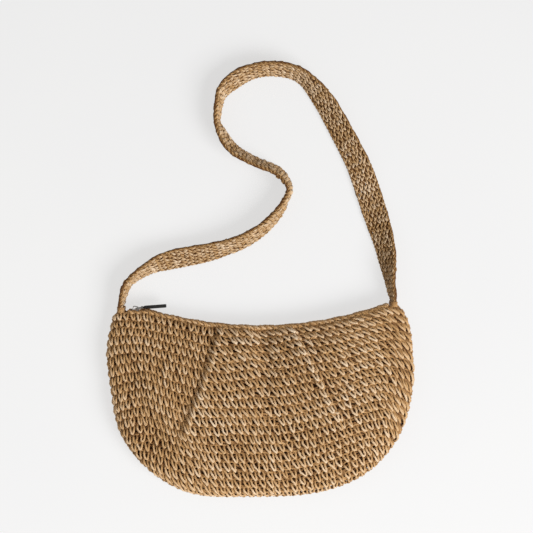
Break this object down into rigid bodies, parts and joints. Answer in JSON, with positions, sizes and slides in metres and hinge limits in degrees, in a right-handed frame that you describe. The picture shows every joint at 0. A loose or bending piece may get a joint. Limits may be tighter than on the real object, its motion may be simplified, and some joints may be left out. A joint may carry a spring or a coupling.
{
  "type": "hobo bag",
  "caption": "Soft crescent hobo bag of crocheted straw, lying on its back, with a lined body, a zip across the mouth, a slider with a bar pull, and one long shoulder strap.",
  "frame": {"origin": "middle of the bag's footprint without its strap, on the surface that the back panel lies on", "axes": "+X along the zip to the open end of the chain, +Y from the bottom of the bag to its mouth, +Z from the back panel up to the front panel"},
  "size_m": [0.32, 0.4512, 0.042],
  "materials": {
    "straw_knit": "crocheted paper straw yarn, matt with a slight sheen",
    "lining_cloth": "plain woven cloth, matt",
    "thread": "sewing thread, matt",
    "zip_tape": "herringbone woven tape, matt",
    "zip_coil": "nylon coil",
    "slider_metal": "bright nickel plate",
    "pull_black": "black enamel, semi-gloss"
  },
  "bodies": {
    "bag": {"front_panel": "straw_knit", "back_panel": "straw_knit", "side_seam": "straw_knit", "front_rim": "straw_knit", "back_rim": "straw_knit", "lining_front": "lining_cloth", "lining_back": "lining_cloth", "dart_stitching_left": "thread", "dart_stitching_right": "thread", "zip_tape_front": "zip_tape", "zip_tape_back": "zip_tape", "zip_teeth_front": "zip_coil", "zip_teeth_back": "zip_coil", "zip_top_stops": "slider_metal", "zip_bottom_stop": "slider_metal", "zip_stitching_front": "thread", "zip_stitching_back": "thread", "strap": "straw_knit", "strap_join_left": "straw_knit", "strap_join_right": "straw_knit"},
    "slider": {"slider_body": "slider_metal"},
    "pull_link": {"pull_link": "slider_metal"},
    "pull_bar": {"pull_bar": "pull_black"}
  },
  "joints": [
    {"name": "zip_slide", "type": "hinge", "parent": "bag", "child": "slider", "pos_m": [0, 0.574, 0.013], "axis": [0, 0, 1], "range_deg": [0, 26.7]},
    {"name": "link_swing", "type": "hinge", "parent": "slider", "child": "pull_link", "pos_m": [-0.12913, 0.095, 0.013], "axis": [0, 0, 1], "range_deg": [-12, 33]},
    {"name": "bar_swing", "type": "hinge", "parent": "pull_link", "child": "pull_bar", "pos_m": [-0.1232, 0.09589, 0.013], "axis": [0, 0, 1], "range_deg": [-5, 22]}
  ]
}
